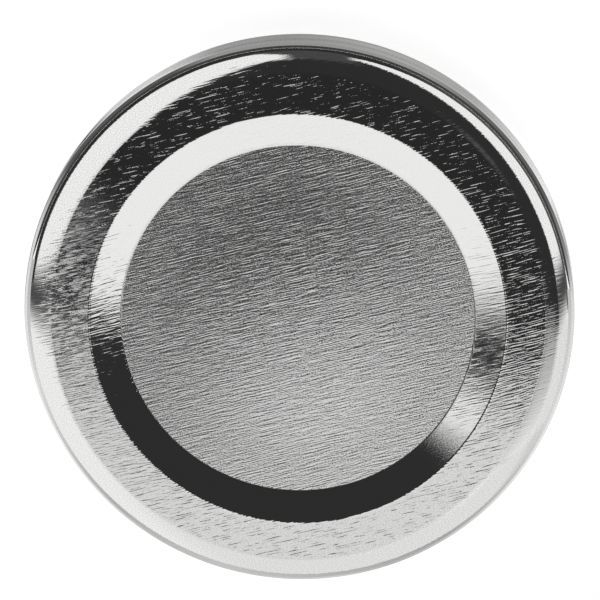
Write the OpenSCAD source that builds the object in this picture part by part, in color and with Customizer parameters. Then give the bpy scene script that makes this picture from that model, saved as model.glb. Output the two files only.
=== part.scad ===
// Twist-off jar lid: a pressed tinplate shell with its edge rolled into a curl, lugs
// pressed inwards out of the curl, and a flowed-in sealing ring under the channel.
// The lid stands on its curl, top up, on z = 0, centred on the z axis.

/* [Lid] */
// Outside diameter over the curl
lid_d = 70; // [54:0.5:90]
// Height from the foot of the curl to the crest of the top ring
lid_h = 10.2; // [8:0.1:14]
// Thickness of the tinplate
sheet_t = 0.2; // [0.15:0.01:0.3]

/* [Top] */
// Distance from the rim in to the foot of the step, where the flat panel starts
panel_in = 12.75; // [10.5:0.05:16]
// Distance from the rim in to the crest of the ring
crest_in = 8.8; // [7.3:0.05:10]
// Distance from the rim in to the crease, where the shoulder starts
crease_in = 3.95; // [3.2:0.05:4.8]
// Depth of the flat panel below the crest
panel_depth = 0.95; // [0.4:0.05:1.5]
// Fall of the channel from the crest to the crease
channel_fall = 0.55; // [0.2:0.05:0.9]
// Outside radius of the bends at the step, the crest and the crease
bend_r = 1; // [0.5:0.05:1.4]

/* [Shoulder] */
// Slope at which the shoulder leaves the crease, in degrees
shoulder_slope = 13; // [10:1:18]
// Radius of the shoulder's sweep
shoulder_r = 7.5; // [6:0.1:10]
// Distance from the rim in to the end of the sweep, where the corner starts
corner_in = 1.25; // [0.9:0.05:1.6]

/* [Skirt] */
// How far the curl stands out from the neck of the skirt above it
curl_proud = 0.45; // [0.2:0.05:0.6]
// How far the top of the skirt stands out from its neck
skirt_bulge = 0.25; // [0:0.05:0.4]
// Outside radius of the curl
curl_r = 1; // [0.7:0.05:1.2]
// Radius of the groove between the skirt and the curl
groove_r = 0.4; // [0.2:0.05:0.8]
// How far round the curl is rolled, in degrees from straight up
curl_end = 350; // [300:5:355]

/* [Lugs] */
// Number of lugs
lug_count = 4; // [3:1:8]
// How far a lug reaches in from the inside of the curl
lug_reach = 2; // [1:0.1:2.5]
// Width of a lug at its root
lug_root_w = 11; // [6:0.5:14]
// Width of a lug at its tip
lug_tip_w = 7.5; // [4:0.5:10]
// Thickness of a lug, which is the curl pressed flat
lug_t = 0.8; // [0.6:0.05:1.1]
// Height of a lug's underside above the foot of the curl
lug_z = 0.25; // [0.1:0.05:0.6]
// Radius of the corners at a lug's tip
lug_corner_r = 1.2; // [0.5:0.1:1.8]

/* [Sealing ring] */
// Thickness of the sealing compound
seal_t = 0.7; // [0.3:0.05:1]
// Distance from the rim in to the ring's inner edge
seal_inner_in = 7.4; // [6.2:0.1:8.5]
// Distance from the rim in to the ring's outer edge
seal_outer_in = 1.9; // [1.6:0.1:2.3]
// Bond line between the compound and the tinplate
seal_gap = 0.02; // [0.01:0.01:0.05]

/* [Hidden] */
$fn = 96;

lid_r = lid_d / 2;
panel_r = lid_r - panel_in;
crest_r = lid_r - crest_in;
crease_r = lid_r - crease_in;
corner_r = lid_r - corner_in;
neck_r = lid_r - curl_proud;
skirt_r = neck_r + skirt_bulge;

panel_z = lid_h - panel_depth;
crease_z = lid_h - channel_fall;
step_slope = -atan(panel_depth / (crest_r - panel_r));
channel_slope = atan(channel_fall / (crease_r - crest_r));

// The sweep ends where it reaches corner_r, and the corner carries on from its slope
// round to upright.
corner_slope = asin(sin(shoulder_slope) + (corner_r - crease_r) / shoulder_r);
corner_bend_r = (skirt_r - corner_r) / (1 - sin(corner_slope));

sweep_centre = [crease_r, crease_z] - shoulder_r * facing(shoulder_slope);
corner_start = sweep_centre + shoulder_r * facing(corner_slope);
corner_centre = corner_start - corner_bend_r * facing(corner_slope);
curl_centre = [lid_r - curl_r, curl_r];
groove_across = neck_r + groove_r - curl_centre[0];
groove_up = sqrt(pow(curl_r + groove_r, 2) - pow(groove_across, 2));
groove_centre = curl_centre + [groove_across, groove_up];
groove_slope = atan2(groove_across, groove_up);

curl_inside_r = lid_r - 2 * curl_r;
lug_tip_r = curl_inside_r - lug_reach;
lug_root_r = curl_centre[0];

// Pieces in which a bend, a sweep and the curl are drawn
BEND_STEPS = 3;
SWEEP_STEPS = 8;
CURL_STEPS = 28;
// How far a cutting outline runs past what it cuts
PAST = 1;

// The sheet's section is described by its slope: 0 is level, 90 is an upright skirt,
// and this is the way the outside faces there.
function facing(slope) = [sin(slope), cos(slope)];

// Points of a rounded stretch between two slopes. Its inset is how deep in the sheet the
// line runs, so a bulging stretch tightens and a hollow one (side = -1) opens.
function rounded(centre, radius, from, to, inset, side, steps) =
    [for (i = [0 : steps])
        centre + side * (radius - side * inset) * facing(from + (to - from) * i / steps)];

// A bend pressed at a corner point, between the slopes of its two sides
function bend(corner, from, to, inset) =
    let (
        side = to > from ? 1 : -1,
        middle = (from + to) / 2,
        back = side * bend_r / cos((to - from) / 2)
    )
    rounded(corner - back * facing(middle), bend_r, from, to, inset, side, BEND_STEPS);

// The top of the sheet from the step out to the end of the corner
function top_line(inset) = concat(
    bend([panel_r, panel_z], 0, step_slope, inset),
    bend([crest_r, lid_h], step_slope, channel_slope, inset),
    bend([crease_r, crease_z], channel_slope, shoulder_slope, inset),
    rounded(sweep_centre, shoulder_r, shoulder_slope, corner_slope, inset, 1, SWEEP_STEPS),
    rounded(corner_centre, corner_bend_r, corner_slope, 90, inset, 1, SWEEP_STEPS)
);

// The whole sheet from the axis to the cut edge inside the curl
function sheet_line(inset) = concat(
    [[0, panel_z - inset]],
    top_line(inset),
    rounded(groove_centre, groove_r, 90 + 180, groove_slope + 180, -inset, 1, BEND_STEPS),
    rounded(curl_centre, curl_r, groove_slope, curl_end, inset, 1, CURL_STEPS)
);

function backwards(points) = [for (i = [len(points) - 1 : -1 : 0]) points[i]];

module sheet() {
    rotate_extrude()
        polygon(concat(sheet_line(0), backwards(sheet_line(sheet_t))));
}

// A lug seen from above: a tongue that reaches in from the curl, with a round tip
module lug_plan() {
    tip_corner = lug_tip_w / 2 - lug_corner_r;
    intersection() {
        difference() {
            circle(r = lug_root_r);
            circle(r = lug_tip_r);
        }
        polygon([
            [lug_tip_r - PAST, -lug_tip_w / 2],
            [lug_tip_r + lug_corner_r, -lug_tip_w / 2],
            [lug_root_r + PAST, -lug_root_w / 2],
            [lug_root_r + PAST, lug_root_w / 2],
            [lug_tip_r + lug_corner_r, lug_tip_w / 2],
            [lug_tip_r - PAST, lug_tip_w / 2]
        ]);
        union() {
            translate([lug_tip_r + lug_corner_r, -lug_root_w])
                square([lug_root_r, 2 * lug_root_w]);
            translate([0, -tip_corner])
                square([lug_root_r, 2 * tip_corner]);
            for (side = [-1, 1])
                translate([lug_tip_r + lug_corner_r, side * tip_corner])
                    circle(r = lug_corner_r);
        }
    }
}

module lugs() {
    for (i = [0 : lug_count - 1])
        rotate([0, 0, 360 / lug_count * (i + 0.5)])
            translate([0, 0, lug_z])
                linear_extrude(height = lug_t)
                    lug_plan();
}

module shell() {
    color("silver")
        union() {
            sheet();
            lugs();
        }
}

module sealing_ring() {
    upper = sheet_t + seal_gap;
    inner_r = lid_r - seal_inner_in;
    outer_r = lid_r - seal_outer_in;
    color("ivory")
        rotate_extrude()
            intersection() {
                polygon(concat(top_line(upper), backwards(top_line(upper + seal_t))));
                translate([inner_r, 0])
                    square([outer_r - inner_r, lid_h]);
            }
}

shell();
sealing_ring();
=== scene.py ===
import math

import bpy
from mathutils import Matrix, Vector


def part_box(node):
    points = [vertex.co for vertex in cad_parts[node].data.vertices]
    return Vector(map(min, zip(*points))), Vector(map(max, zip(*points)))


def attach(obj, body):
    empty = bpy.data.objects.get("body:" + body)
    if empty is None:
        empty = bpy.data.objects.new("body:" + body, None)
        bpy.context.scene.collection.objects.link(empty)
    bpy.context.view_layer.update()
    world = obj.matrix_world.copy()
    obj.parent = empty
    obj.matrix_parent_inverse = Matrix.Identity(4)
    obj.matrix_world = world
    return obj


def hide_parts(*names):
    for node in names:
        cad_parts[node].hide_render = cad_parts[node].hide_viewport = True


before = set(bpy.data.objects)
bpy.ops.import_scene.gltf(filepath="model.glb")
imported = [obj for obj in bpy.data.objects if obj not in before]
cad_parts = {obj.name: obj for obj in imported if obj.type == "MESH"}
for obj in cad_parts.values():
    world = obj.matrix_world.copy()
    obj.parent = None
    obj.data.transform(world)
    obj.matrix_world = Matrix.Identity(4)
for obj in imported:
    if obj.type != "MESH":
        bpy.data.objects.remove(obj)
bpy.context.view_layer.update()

# Sizes are in millimetres and angles in degrees, as in the part's own source. The meshes
# and the camera are made in metres.
MM = 0.001

shell_low, shell_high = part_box("shell")
rim_r = (shell_high.x - shell_low.x) / 2 / MM
crest_top = shell_high.z / MM

# The sheet, from the axis out to the cut edge inside the curl
sheet_t = 0.2
panel_r = rim_r - 12.75
crest_r = rim_r - 8.8
crease_r = rim_r - 3.95
corner_r = rim_r - 1.25
bend_r = 1.0
panel_depth = 0.95
dome_r = 18.5
dome_rise = 0.18
channel_fall = 0.55
shoulder_slope = 13
shoulder_r = 7.5
neck_r = rim_r - 0.45
skirt_r = neck_r + 0.25
groove_r = 0.4
curl_r = 1.0
curl_end = 350

# Lugs, pressed inwards out of the curl
LUGS = 4
lug_reach = 2.0
lug_root_w = 11.0
lug_tip_w = 5.0
lug_t = 0.8
lug_z = 0.25
lug_back_r = rim_r - curl_r - 0.5  # where the sheet ends that is folded back over a lug

# Ring of sealing compound
seal_t = 0.7
seal_gap = 0.02
seal_inner_r = rim_r - 7.4
seal_outer_r = rim_r - 1.9
seal_round_r = 0.28

# Pieces in which the lid's round and each stretch of its section are drawn
ROUND = 480
PANEL_STEPS = 10
BEND_STEPS = 5
SHOULDER_STEPS = 11
CORNER_STEPS = 14
SKIRT_STEPS = 8
CURL_STEPS = 34
FOOT_STEPS = 12
TIP_STEPS = 8
SEAL_EDGE_STEPS = 6


# ---------------------------------------------------------------- the sheet's section

def ease(share):
    """A smooth step from 0 to 1."""
    share = min(1.0, max(0.0, share))
    return share * share * (3 - 2 * share)


def facing(slope):
    """The way the outside of the sheet faces at a slope: 0 is level, 90 is upright."""
    angle = math.radians(slope)
    return Vector((math.sin(angle), math.cos(angle)))


class Station:
    """A place on the outside of the sheet: its radius and height, and its slope."""

    def __init__(self, point, slope):
        self.point = Vector(point)
        self.slope = slope

    def inside(self, depth):
        """The point at a depth below the outside."""
        return self.point - depth * facing(self.slope)


def arc(centre, radius, start, end, steps):
    """Stations round a centre. A hollow stretch has a negative radius."""
    slopes = [start + (end - start) * i / steps for i in range(steps + 1)]
    return [Station(centre + radius * facing(slope), slope) for slope in slopes]


def bend(corner, start, end):
    """Stations of a bend pressed at a corner point, between the slopes of its sides."""
    radius = math.copysign(bend_r, end - start)
    back = radius / math.cos(math.radians(end - start) / 2)
    return arc(corner - back * facing((start + end) / 2), radius, start, end, BEND_STEPS)


def skirt_stations(first, last):
    """Stations of the skirt: a soft S between the corner above it and the groove below."""
    run = last.point - first.point
    made = []
    for i in range(1, SKIRT_STEPS):
        share = i / SKIRT_STEPS
        point = first.point + Vector((run.x * ease(share), run.y * share))
        lean = math.degrees(math.atan2(run.x * 6 * share * (1 - share), run.y))
        made.append(Station(point, 270 + lean if lean < 0 else lean - 90))
    return made


step_slope = -math.degrees(math.atan(panel_depth / (crest_r - panel_r)))
channel_slope = math.degrees(math.atan(channel_fall / (crease_r - crest_r)))
# The crest's bend takes a little off the height of its corner point.
crest_middle = math.radians((step_slope + channel_slope) / 2)
crest_half = math.radians((channel_slope - step_slope) / 2)
lid_h = crest_top + bend_r * (math.cos(crest_middle) / math.cos(crest_half) - 1)

panel_z = lid_h - panel_depth
crease = Vector((crease_r, lid_h - channel_fall))
corner_slope = math.degrees(
    math.asin(math.sin(math.radians(shoulder_slope)) + (corner_r - crease_r) / shoulder_r))
corner_bend_r = (skirt_r - corner_r) / (1 - math.sin(math.radians(corner_slope)))
sweep_centre = crease - shoulder_r * facing(shoulder_slope)
corner_centre = sweep_centre + (shoulder_r - corner_bend_r) * facing(corner_slope)
curl_centre = Vector((rim_r - curl_r, curl_r + shell_low.z / MM))
groove_across = neck_r + groove_r - curl_centre.x
groove_up = math.sqrt((curl_r + groove_r) ** 2 - groove_across ** 2)
groove_centre = curl_centre + Vector((groove_across, groove_up))
groove_slope = math.degrees(math.atan2(groove_across, groove_up))


def top_stations():
    """The top of the sheet, from the step out to where the corner starts."""
    return (
        bend(Vector((panel_r, panel_z)), 0, step_slope)
        + bend(Vector((crest_r, lid_h)), step_slope, channel_slope)
        + bend(crease, channel_slope, shoulder_slope)
        + arc(sweep_centre, shoulder_r, shoulder_slope, corner_slope, SHOULDER_STEPS)[1:]
    )


def panel_stations():
    """The panel, which springs up a little in the middle."""
    made = []
    for i in range(1, PANEL_STEPS + 1):
        radius = dome_r * i / PANEL_STEPS
        fall = 1 - (radius / dome_r) ** 2
        slope = math.degrees(math.atan(4 * dome_rise * radius / dome_r ** 2 * fall))
        made.append(Station((radius, panel_z + dome_rise * fall ** 2), slope))
    return made


def sheet_stations():
    """The whole sheet: its wall, from the axis down to the groove, and then its curl."""
    corner = arc(corner_centre, corner_bend_r, corner_slope, 90, CORNER_STEPS)[1:]
    groove = arc(groove_centre, -groove_r, 90, groove_slope, BEND_STEPS)
    curl = arc(curl_centre, curl_r, groove_slope, curl_end, CURL_STEPS)[1:]
    skirt = skirt_stations(corner[-1], groove[0])
    return panel_stations() + top_stations() + corner + skirt + groove, curl


# ---------------------------------------------------------------------- the pieces

def spun(radius, height, turn):
    """A point of the section, or a direction in it, turned round the axis."""
    across = Vector((math.cos(turn), math.sin(turn)))
    return radius * across.x, radius * across.y, height


def outward(before, after):
    """The way out of the section between two points of its line."""
    run = (after - before).normalized()
    return Vector((-run.y, run.x))


def mesh(name, vertices, faces, normals, blank, finishes):
    """A smooth piece. Its UV map gives each vertex's place on the blank, in millimetres."""
    made = bpy.data.meshes.new(name)
    made.from_pydata(vertices, [], faces)
    made.polygons.foreach_set("material_index", finishes)
    made.polygons.foreach_set("use_smooth", [True] * len(faces))
    made.normals_split_custom_set_from_vertices(normals)
    layer = made.uv_layers.new(name="blank")
    for loop in made.loops:
        layer.data[loop.index].uv = blank[loop.vertex_index]
    made.update()
    piece = bpy.data.objects.new(name, made)
    bpy.context.scene.collection.objects.link(piece)
    return piece


def lug_share(azimuth):
    """How far the curl is pressed in at an azimuth: 1 at the tip of a lug, 0 between lugs."""
    pitch = 360 / LUGS
    off = abs((azimuth % pitch) - pitch / 2)
    across = math.radians(off) * (rim_r - 2 * curl_r)
    return ease((lug_root_w / 2 - across) / ((lug_root_w - lug_tip_w) / 2))


def lug_path():
    """The curl's line where it is pressed flat: in along the foot, round the tip and back.

    It has as many points as the curl, so that one can turn into the other."""
    round_r = lug_t / 2
    tip_centre = Vector((rim_r - 2 * curl_r - lug_reach + round_r, lug_z + round_r))
    foot = arc(curl_centre, curl_r, groove_slope, 180, FOOT_STEPS)[1:]
    foot_end = foot[-1].point
    line = [station.point for station in foot]
    steps_in = (CURL_STEPS - FOOT_STEPS - TIP_STEPS) // 2
    steps_back = CURL_STEPS - FOOT_STEPS - TIP_STEPS - steps_in
    for i in range(1, steps_in + 1):
        share = i / steps_in
        across = foot_end.x + (tip_centre.x - foot_end.x) * share
        line.append(Vector((across, lug_z * ease(2 * share))))
    for i in range(1, TIP_STEPS + 1):
        angle = math.pi * (0.5 + i / TIP_STEPS)
        line.append(tip_centre + round_r * Vector((math.cos(angle), -math.sin(angle))))
    for i in range(1, steps_back + 1):
        across = tip_centre.x + (lug_back_r - tip_centre.x) * i / steps_back
        line.append(Vector((across, lug_z + lug_t)))
    return line


OUTSIDE, INSIDE = 0, 1  # the shell's two finishes


def shell_mesh():
    """The pressed shell: one closed sheet, whose curl turns into the lugs and back."""
    wall, curl = sheet_stations()
    flat = lug_path()
    stations = wall + curl
    lengths = [stations[0].point.x]
    for before, after in zip(stations, stations[1:]):
        lengths.append(lengths[-1] + (after.point - before.point).length)

    vertices, normals, blank = [], [], []

    def add(point, turn, normal, along):
        vertices.append([MM * value for value in spun(point.x, point.y, turn)])
        normals.append(spun(normal.x, normal.y, turn))
        blank.append(spun(along, 0, turn)[:2])

    for k in range(ROUND):
        azimuth = 360 * k / ROUND
        turn = math.radians(azimuth)
        share = lug_share(azimuth)
        points = [station.point for station in wall]
        points += [station.point.lerp(pressed, share) for station, pressed in zip(curl, flat)]
        facings = [facing(station.slope) for station in wall]
        for i in range(len(wall), len(points)):
            facings.append(outward(points[i - 1], points[min(i + 1, len(points) - 1)]))
        for point, normal, along in zip(points, facings, lengths):
            add(point, turn, normal, along)
        for point, normal, along in zip(points, facings, lengths):
            add(point - sheet_t * normal, turn, -normal, along)

    across = len(stations)
    column = 2 * across
    top_centre = len(vertices)
    add(Vector((0, panel_z + dome_rise)), 0, Vector((0, 1)), 0)
    add(Vector((0, panel_z + dome_rise - sheet_t)), 0, Vector((0, -1)), 0)

    faces, finishes = [], []

    def face(finish, *corners):
        faces.append(corners)
        finishes.append(finish)

    for k in range(ROUND):
        here, beyond = column * k, column * ((k + 1) % ROUND)
        face(OUTSIDE, top_centre, here, beyond)
        face(INSIDE, top_centre + 1, beyond + across, here + across)
        for i in range(across - 1):
            face(OUTSIDE, here + i, here + i + 1, beyond + i + 1, beyond + i)
            near, far = here + across + i, beyond + across + i
            face(INSIDE, near, far, far + 1, near + 1)
        cut, cut_beyond = here + across - 1, beyond + across - 1
        face(OUTSIDE, cut, here + column - 1, beyond + column - 1, cut_beyond)
    return mesh("pressed_shell", vertices, faces, normals, blank, finishes)


def seal_mesh():
    """The sealing ring: it follows the sheet above, and its free edges are round."""
    upper = sheet_t + seal_gap
    lower = upper + seal_t

    def at(radius, depth):
        """The point at a radius on the line that runs at a depth inside the sheet."""
        inner = [station.inside(depth) for station in top_stations()]
        for before, after in zip(inner, inner[1:]):
            if before.x <= radius <= after.x:
                return before.lerp(after, (radius - before.x) / (after.x - before.x))

    def between(stations, depth, inner_r, outer_r):
        """Those of the stations whose points at a depth are between two radii."""
        return [station for station in stations if inner_r < station.inside(depth).x < outer_r]

    bonded = between(top_stations(), upper, seal_inner_r, seal_outer_r)
    free = between(bonded, lower, seal_inner_r + seal_round_r, seal_outer_r - seal_round_r)
    outer_round = at(seal_outer_r - seal_round_r, lower - seal_round_r)
    inner_round = at(seal_inner_r + seal_round_r, lower - seal_round_r)
    angles = [math.radians(90 * i / SEAL_EDGE_STEPS) for i in range(SEAL_EDGE_STEPS + 1)]
    line = [at(seal_inner_r, upper)]
    line += [station.inside(upper) for station in bonded]
    line += [at(seal_outer_r, upper)]
    line += [outer_round + seal_round_r * Vector((math.cos(a), -math.sin(a))) for a in angles]
    line += [station.inside(lower) for station in reversed(free)]
    line += [inner_round - seal_round_r * Vector((math.sin(a), math.cos(a))) for a in angles]

    count = len(line)
    vertices, normals, blank, faces = [], [], [], []
    for k in range(ROUND):
        turn = math.tau * k / ROUND
        for i, point in enumerate(line):
            normal = outward(line[i - 1], line[(i + 1) % count])
            vertices.append([MM * value for value in spun(point.x, point.y, turn)])
            normals.append(spun(normal.x, normal.y, turn))
            # The compound's own blank is the ring as seen from above.
            blank.append(spun(point.x, 0, turn)[:2])
        here, beyond = count * k, count * ((k + 1) % ROUND)
        for i in range(count):
            j = (i + 1) % count
            faces.append((here + i, here + j, beyond + j, beyond + i))
    return mesh("flowed_seal", vertices, faces, normals, blank, [0] * len(faces))


# --------------------------------------------------------------------- shader nodes

class Wire:
    """One output of a node. Sums and products of wires and numbers make Math nodes."""

    def __init__(self, shader, socket):
        self.shader = shader
        self.socket = socket

    def out(self, name):
        """Another output of the same node."""
        return Wire(self.shader, self.socket.node.outputs[name])

    def math(self, operation, *values):
        return self.shader.node("Math", {"operation": operation}, dict(enumerate(values)))

    def or_more(self, other):
        """The greater of the two."""
        return self.math("MAXIMUM", self, other)

    def __add__(self, other):
        return self.math("ADD", self, other)

    def __sub__(self, other):
        return self.math("SUBTRACT", self, other)

    def __rsub__(self, other):
        return self.math("SUBTRACT", other, self)

    def __mul__(self, other):
        return self.math("MULTIPLY", self, other)

    def __truediv__(self, other):
        return self.math("DIVIDE", self, other)

    def __rtruediv__(self, other):
        return self.math("DIVIDE", other, self)

    def __pow__(self, other):
        return self.math("POWER", self, other)

    __radd__ = __add__
    __rmul__ = __mul__


class Shader:
    """The node tree of a material or of the world."""

    def __init__(self, owner):
        owner.use_nodes = True
        self.tree = owner.node_tree
        self.tree.nodes.clear()

    def node(self, kind, settings=None, sockets=None):
        """Makes a node, sets it up, fills or links its sockets, and gives its first output."""
        made = self.tree.nodes.new("ShaderNode" + kind)
        for name, value in (settings or {}).items():
            if name == "stops":
                self.set_stops(made.color_ramp, value)
            else:
                setattr(made, name, value)
        for name, value in (sockets or {}).items():
            self.feed(made.inputs[name], value)
        return Wire(self, made.outputs[0]) if made.outputs else None

    def set_stops(self, ramp, stops):
        """Gives a ramp its stops, which are pairs of a place from 0 to 1 and a grey level."""
        while len(ramp.elements) < len(stops):
            ramp.elements.new(1)
        for element, (place, grey) in zip(ramp.elements, stops):
            element.position = place
            element.color = (grey, grey, grey, 1)

    def feed(self, socket, value):
        """Links a wire to a socket, or sets the socket to a number, a colour or a vector."""
        if isinstance(value, Wire):
            self.tree.links.new(value.socket, socket)
        elif socket.type == "RGBA":
            socket.default_value = (*value, 1)
        else:
            socket.default_value = value

    def soft(self, value, low, high):
        """0 below low, 1 above high and a smooth step between them."""
        return self.node("MapRange", {"interpolation_type": "SMOOTHSTEP"},
                         {"Value": value, "From Min": low, "From Max": high})

    def band(self, value, low, high, edge):
        """1 between low and high, with soft edges."""
        begun = self.soft(value, low - edge, low + edge)
        return begun * (1 - self.soft(value, high - edge, high + edge))

    def vector_math(self, operation, sockets):
        return self.node("VectorMath", {"operation": operation}, sockets)

    def dot(self, one, two):
        return self.vector_math("DOT_PRODUCT", {0: one, 1: two}).out("Value")

    def mix(self, share, one, two):
        """A colour between two others. The Mix node keeps its colours in sockets 6 and 7, and
        gives the result as its output 2."""
        return self.node("Mix", {"data_type": "RGBA"}, {"Factor": share, 6: one, 7: two}).out(2)

    def noise(self, place, scale, detail, roughness=0.5):
        """Noise over the flat blank, from 0 to 1."""
        return self.node("TexNoise", {"noise_dimensions": "2D"}, {
            "Vector": place, "Scale": scale, "Detail": detail, "Roughness": roughness})


def material(name):
    """A new material, and its node tree."""
    made = bpy.data.materials.new(name)
    return made, Shader(made)


# ------------------------------------------------------------------------ finishes

GRAIN = math.radians(25)  # from +X, the way the sheet was rolled
SHORT_GROOVE, LONG_GROOVE = 1.8, 4.5
FLECK_LENGTH, FLECK_WIDTH = 0.2, 0.13


def length_to(radius):
    """How far out on the flat blank a place on the top of the sheet was."""
    points = [station.point for station in top_stations() if station.point.x <= radius]
    return panel_r + sum((after - before).length for before, after in zip(points, points[1:]))


def streaks(shader, along, across, length, width):
    """Noise drawn out along the grain, from 0 to 1."""
    place = shader.node("CombineXYZ", None, {"X": along / length, "Y": across / width})
    return shader.noise(place, 1.0, 1.0, 0.6)


def grooves(shader, along, across, length, width):
    """How steeply the walls of fine grooves lean, mostly from -1 to 1: a groove's two walls
    lean opposite ways."""
    return 6 * (streaks(shader, along, across + width / 2, length, width)
                - streaks(shader, along, across - width / 2, length, width))


def tinplate():
    """Bright tinplate. Every streak of its rolled grain leans a little across the grain, so
    it throws its own bit of the room. Pressing and ironing smooths the step and shoulder."""
    made, shader = material("tinplate")
    blank = shader.node("UVMap", {"uv_map": "blank"})
    turned = shader.node("VectorRotate", {"rotation_type": "Z_AXIS"}, {"Vector": blank, "Angle": -GRAIN})
    split = shader.node("SeparateXYZ", None, {"Vector": turned})
    along, across = split.out("X"), split.out("Y")
    out = shader.vector_math("LENGTH", {0: blank}).out("Value")

    # How much a place belongs to each part of the pressing, from 0 to 1
    crease_out = length_to(crease_r)
    panel = 1 - shader.soft(out, panel_r - 0.1, panel_r + 0.2)
    step = shader.band(out, length_to(panel_r), length_to(crest_r), 0.3)
    shoulder = shader.soft(out, crease_out - 0.2, crease_out + 0.4)
    rim = shader.soft(out, crease_out + 0.5, crease_out + 3)
    ironed = step + shoulder

    # The grain sways a little. It has short grooves and long ones, with flecks between, each
    # taken from its own stretch of noise. It is finer on the panel.
    across = across + 0.15 * shader.noise(blank, 0.3, 1.0)
    breadth = 0.125 - 0.02 * panel
    groove = (grooves(shader, along, across, SHORT_GROOVE, breadth)
              + grooves(shader, along + 50, across, LONG_GROOVE, 1.25 * breadth))
    fleck = streaks(shader, along + 90, across, FLECK_LENGTH, FLECK_WIDTH)
    tooth = groove + (3.6 + 4.4 * panel) * (fleck - 0.5)

    # The panel's grain is calmer towards its edge. Off the panel, the steepest walls lean
    # much more than the rest.
    calm = 0.28 * panel * shader.soft(out, 6, 18)
    lean = ((0.025 + 0.003 * panel) * tooth * (1 - calm - 0.5 * step - 0.45 * shoulder - 0.45 * rim)
            + 0.0036 * tooth ** 3 * (1 - panel - 0.96 * step - 0.75 * shoulder - 0.25 * rim))
    roll = (0.03 + 0.05 * panel) * (fleck - 0.5)
    leaning = shader.vector_math("SCALE", {0: (-math.sin(GRAIN), math.cos(GRAIN), 0), "Scale": lean})
    rolling = shader.vector_math("SCALE", {0: (math.cos(GRAIN), math.sin(GRAIN), 0), "Scale": roll})
    tipping = shader.vector_math("ADD", {0: leaning, 1: rolling})
    facet = shader.vector_math("ADD", {0: shader.node("NewGeometry").out("Normal"), 1: tipping})
    facet = shader.vector_math("NORMALIZE", {0: facet})

    shine = (0.66 + 0.11 * panel + 0.17 * ironed
             + (0.45 - 0.3 * step - 0.05 * shoulder) * (fleck - 0.5))
    tone = shader.mix(shine, (0, 0, 0), (1, 1, 0.99))
    surface = shader.node("BsdfPrincipled", None, {
        "Base Color": tone, "Metallic": 1.0, "Normal": facet,
        "Roughness": 0.04 + 0.13 * panel})
    shader.node("OutputMaterial", None, {"Surface": surface})
    return made


def inside_lacquer():
    """Clear gold lacquer over the tinplate, a little thicker in some places than in others."""
    made, shader = material("inside_lacquer")
    patch = shader.noise(shader.node("UVMap", {"uv_map": "blank"}), 0.12, 3.0)
    tone = shader.mix(patch, (0.74, 0.60, 0.34), (0.80, 0.67, 0.42))
    surface = shader.node("BsdfPrincipled", None, {
        "Base Color": tone, "Metallic": 0.85, "Roughness": 0.24 + 0.08 * patch,
        "Coat Weight": 0.4, "Coat Roughness": 0.15})
    shader.node("OutputMaterial", None, {"Surface": surface})
    return made


def sealing_compound():
    """Soft ivory compound, flowed in and cured, so its skin is a little uneven."""
    made, shader = material("sealing_compound")
    patch = shader.noise(shader.node("UVMap", {"uv_map": "blank"}), 0.5, 4.0)
    tone = shader.mix(patch, (0.76, 0.73, 0.65), (0.84, 0.82, 0.75))
    bump = shader.node("Bump", None, {"Strength": 0.4, "Distance": 0.00008, "Height": patch})
    surface = shader.node("BsdfPrincipled", None, {
        "Base Color": tone, "Roughness": 0.42 + 0.12 * patch, "Normal": bump,
        "Subsurface Weight": 0.1, "Subsurface Scale": 0.0006})
    shader.node("OutputMaterial", None, {"Surface": surface})
    return made


# --------------------------------------------------------------------- the pieces made

shell = shell_mesh()
shell.data.materials.append(tinplate())
shell.data.materials.append(inside_lacquer())
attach(shell, "root")
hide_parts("shell")

seal = seal_mesh()
seal.data.materials.append(sealing_compound())
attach(seal, "root")
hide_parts("sealing_ring")

# ------------------------------------------------------------------------ the camera

CAMERA_TILT = math.radians(12.6)  # the camera leans off the lid's axis towards +Y
CAMERA_ROLL = math.radians(11.0)  # and is turned this far about its own line of sight
CAMERA_DISTANCE = 400.0
VIEW_WIDTH = 77.07  # at the lid
AIM_RIGHT, AIM_ABOVE = -0.091, 0.512  # what it points at, from the middle of the lid's foot
SENSOR = 36.0

toward = Vector((0, math.sin(CAMERA_TILT), math.cos(CAMERA_TILT)))
level = Vector((1, 0, 0))
right = math.cos(CAMERA_ROLL) * level + math.sin(CAMERA_ROLL) * toward.cross(level)
above = toward.cross(right)

camera_data = bpy.data.cameras.new("camera")
camera_data.sensor_width = SENSOR
camera_data.lens = SENSOR * CAMERA_DISTANCE / VIEW_WIDTH
camera = bpy.data.objects.new("camera", camera_data)
bpy.context.scene.collection.objects.link(camera)
aim = AIM_RIGHT * right + AIM_ABOVE * above
camera_place = (aim + CAMERA_DISTANCE * toward) * MM
camera_turn = Matrix((right, above, toward)).transposed().to_4x4()
camera.matrix_world = Matrix.Translation(camera_place) @ camera_turn
bpy.context.scene.camera = camera

# --------------------------------------------------------------------------- the room

TENT_WHITE = 0.95
SHADE = 0.03  # what is left of the light in the dark places


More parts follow.
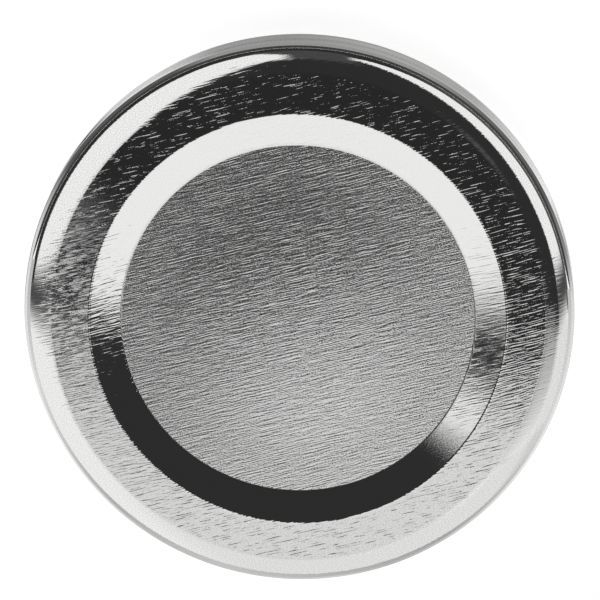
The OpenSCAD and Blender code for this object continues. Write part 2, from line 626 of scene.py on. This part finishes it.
def room():
    """A white tent with a dark opening round the camera, as is used for small bright things.

    x and y are angles in degrees from the line to the camera, to its right and above it."""
    world = bpy.data.worlds.new("tent")
    bpy.context.scene.world = world
    shader = Shader(world)
    way = shader.node("TexCoord").out("Generated")
    ahead, sideways, upwards = shader.dot(way, toward), shader.dot(way, right), shader.dot(way, above)
    off = ahead.math("ARCCOSINE", ahead)
    scale = math.degrees(1) * off / (sideways * sideways + upwards * upwards + 1e-6) ** 0.5
    x, y = sideways * scale, upwards * scale

    def within(centre_x, centre_y, radius, edge):
        """1 inside a circle, with a soft edge."""
        distance = ((x - centre_x) ** 2 + (y - centre_y) ** 2) ** 0.5
        return 1 - shader.soft(distance, radius - edge, radius + edge)

    def seam(rise, slope, breadth, edge):
        """A dark gap along a straight table edge, breadth degrees to either side of it."""
        aside = (upwards - rise * ahead - slope * sideways) * (1 + rise * rise + slope * slope) ** -0.5
        return shader.band(math.degrees(1) * aside, -breadth, breadth, edge)

    # The opening is where the front sheets of the tent part: straight edges, a little bowed.
    left_edge = (within(191, -72, 230, 2.5)
                 * (1 - (1 - within(19, 2, 44, 2.5)) * shader.soft(y, -20, -12)))
    right_edge = within(-37, -33, 92, 1.2)
    bow = (6 * shader.band(x, -20, -9, 6) + 3.5 * shader.band(x, 8.5, 17, 3)
           - 1.2 * shader.soft(x, 17, 21))
    loose = 1 - shader.soft(x, -18, -10)
    open_above = (shader.soft(y + bow, -28, -24) * (1 - loose)
                  + shader.soft(y + bow, -32, -21) * loose)
    opening = left_edge * right_edge * open_above
    # Above the opening the front sheets leave a slit, which widens from 45 degrees up.
    higher = (y - 45).or_more(0.0)
    slit = (shader.soft(x + 1.2 * higher, -9, -5) * (1 - shader.soft(x, 8, 12.5))
            * shader.band(y, 37, 60, 2))

    # Behind the tent's arches it is dark.
    on_right = shader.soft(x, 0, 2)
    arches = within(-2, -23, 76.3, 1) * (1 - on_right) + within(17, -7.5, 56.6, 1) * on_right
    beyond = (1 - arches) * shader.soft(y + 0.035 * x, -17, -13)

    seam_left = 0.95 * seam(-0.345, 0.12, 4.6, 4) * (1 - shader.soft(x, -27, -21))
    seam_right = 0.95 * seam(-0.49, 0.01, 4.8, 4) * shader.soft(x, 44, 49)
    dark = opening.or_more(slit).or_more(seam_left).or_more(seam_right).or_more(beyond)

    # Parts of the white are duller: a wedge of the right sheet, the table and the far side.
    wedge = (shader.soft(x, 21, 26) * (1 - shader.soft(x, 48, 58))
             * (1 - shader.soft(y, -24, -20)) * shader.soft(y, -58, -24))
    table = 0.12 * (1 - shader.soft(y, -55, -50)) * shader.soft(x, -45, -15)
    side = 0.12 * shader.soft(x, 50, 60) * (1 - shader.soft(y, -25, -18))
    # A little light gets into the dark.
    glimmer = 0.07 * shader.soft(x, 20, 60) * beyond + 0.06 * within(22, 1, 4, 3) + 0.04 * slit
    light = (TENT_WHITE - table - side - 0.52 * wedge) * (1 - dark) + SHADE + glimmer
    background = shader.node("Background", None, {"Color": light, "Strength": 1.0})
    shader.node("OutputWorld", None, {"Surface": background})


room()

# -------------------------------------------------------------------------- the stage

STAGE_ROUND = 180
FLOOR_Z, CARD_Z = -0.01, 0.02
FLOOR_R = 3000.0
FLOOR_GLOW = 0.7
TOUCH_IN, TOUCH_R = rim_r - 0.3, 37.4  # where the touching card starts and ends
CURL_CARD_FOOT, CURL_CARD_TOP = 0.1, 2.6  # the curl card stands where that one ends
LIP_R, LIP_TOP = 45.0, 3.5  # where the near card turns up, and how high
WALL_R, WALL_TOP = 60.0, 11.0  # where the grey card turns up, and how high
FAR_R = 500.0  # where the black card ends


def stage_piece(name, rings, sweep, surface_of):
    """A curved piece of the stage: bands between (radius, height) rings, from one azimuth to
    another. Its back is clear: the back is below a ring that goes outward, and outside a wall."""
    vertices, faces = [], []
    count = len(rings)
    begin, end = sweep
    for k in range(STAGE_ROUND + 1):
        turn = math.radians(begin + (end - begin) * k / STAGE_ROUND)
        for radius, height in rings:
            vertices.append([MM * value for value in spun(radius, height, turn)])
    for k in range(STAGE_ROUND):
        here, beyond = count * k, count * (k + 1)
        for i in range(count - 1):
            faces.append((here + i, here + i + 1, beyond + i + 1, beyond + i))
    made = bpy.data.meshes.new(name)
    made.from_pydata(vertices, [], faces)
    piece = bpy.data.objects.new(name, made)
    bpy.context.scene.collection.objects.link(piece)
    finish, shader = material(name)
    surface = surface_of(shader)
    behind = shader.node("NewGeometry").out("Backfacing")
    clear = shader.node("BsdfTransparent")
    shown = shader.node("MixShader", None, {0: behind, 1: surface, 2: clear})
    shader.node("OutputMaterial", None, {"Surface": shown})
    made.materials.append(finish)
    return piece


def floor_surface(shader):
    """White paper, which also glows a little where it is seen, so that it comes out white."""
    path = shader.node("LightPath")
    seen = path.out("Is Camera Ray").or_more(path.out("Is Glossy Ray"))
    seen = seen.or_more(path.out("Is Transmission Ray"))
    grain = shader.node("TexNoise", None, {"Scale": 40.0, "Detail": 3.0})
    paper = shader.mix(grain, (0.80, 0.80, 0.80), (0.83, 0.83, 0.83))
    matt = shader.node("BsdfDiffuse", None, {"Color": paper})
    glow = shader.node("Emission", None, {"Color": seen, "Strength": FLOOR_GLOW})
    return shader.node("AddShader", None, {0: matt, 1: glow})


def card_surface(shades):
    """Card that glows, to paint a reflection in the metal. Its shades are pairs of an azimuth and a
    brightness.
    """
    def surface(shader):
        place = shader.node("NewGeometry").out("Position")
        split = shader.node("SeparateXYZ", None, {"Vector": place})
        turn = split.math("ARCTAN2", split.out("Y"), split.out("X")) / math.tau
        turn = turn.math("FRACT", turn)
        stops = [(azimuth / 360, bright) for azimuth, bright in shades]
        shade = shader.node("ValToRGB", {"stops": stops}, {"Fac": turn})
        return shader.node("Emission", None, {"Color": shade, "Strength": 1.0})
    return surface


def card(name, rings, sweep, *shades):
    """A glowing card that shows only in the metal, as a painted reflection: it lights nothing and casts
    no shadow.
    """
    piece = stage_piece(name, rings, sweep, card_surface(shades))
    piece.visible_camera = False
    piece.visible_diffuse = False
    piece.visible_shadow = False
    piece.visible_transmission = False


# The floor is left open under the lid.
stage_piece("floor", ((rim_r - curl_r, FLOOR_Z), (FLOOR_R, FLOOR_Z)), (0, 360), floor_surface)

# Cards round the foot of the lid, which show only in its metal. The skirt sees the touching
# card, the curl sees the curl card, and the corner above them sees those farther out.
# Their glow, set azimuth by azimuth, is painted reflection: it paints the light, grey and dark bands on
# the skirt, curl and corner.
card("touching_card", ((TOUCH_IN, CARD_Z), (TOUCH_R, CARD_Z)), (0, 360),
     (0, 0.8), (24, 0.95), (36, 0.95), (50, 0.7), (66, 0.48), (100, 0.33), (118, 0.35),
     (132, 0.9), (152, 0.9), (165, 0.4), (182, 0.4), (200, 0.8), (222, 0.9), (252, 0.5),
     (288, 0.62), (300, 0.46), (335, 0.84), (360, 0.8))
card("curl_card", ((TOUCH_R, CURL_CARD_FOOT), (TOUCH_R, CURL_CARD_TOP)), (0, 212),
     (0, 0.75), (12, 0.6), (23, 0.25), (35, 1.0), (48, 0.75), (62, 0.45), (84, 0.48),
     (104, 0.34), (120, 0.4), (134, 0.75), (145, 0.7), (153, 0.06), (182, 0.04),
     (194, 0.45), (206, 0.85), (360, 0.75))
card("near_card", ((TOUCH_R, CARD_Z), (LIP_R, CARD_Z), (LIP_R, LIP_TOP)), (0, 360),
     (0, 0.85), (12, 0.8), (22, 0.3), (36, 0.12), (58, 0.16), (72, 0.36), (120, 0.34),
     (129, 0.11), (160, 0.11), (176, 0.8), (222, 1.0), (252, 0.6), (288, 0.7),
     (300, 0.55), (335, 0.95), (360, 0.85))
card("black_card", ((LIP_R, CARD_Z), (FAR_R, CARD_Z)), (12, 184),
     (0, 0.06), (360, 0.06))
card("grey_card", ((LIP_R, CARD_Z), (WALL_R, CARD_Z), (WALL_R, WALL_TOP)), (184, 372),
     (0, 0.72), (12, 0.6), (188, 0.55), (210, 0.8), (240, 0.5), (265, 0.64),
     (310, 0.44), (345, 0.8), (360, 0.72))

bpy.context.scene.view_settings.view_transform = "Standard"
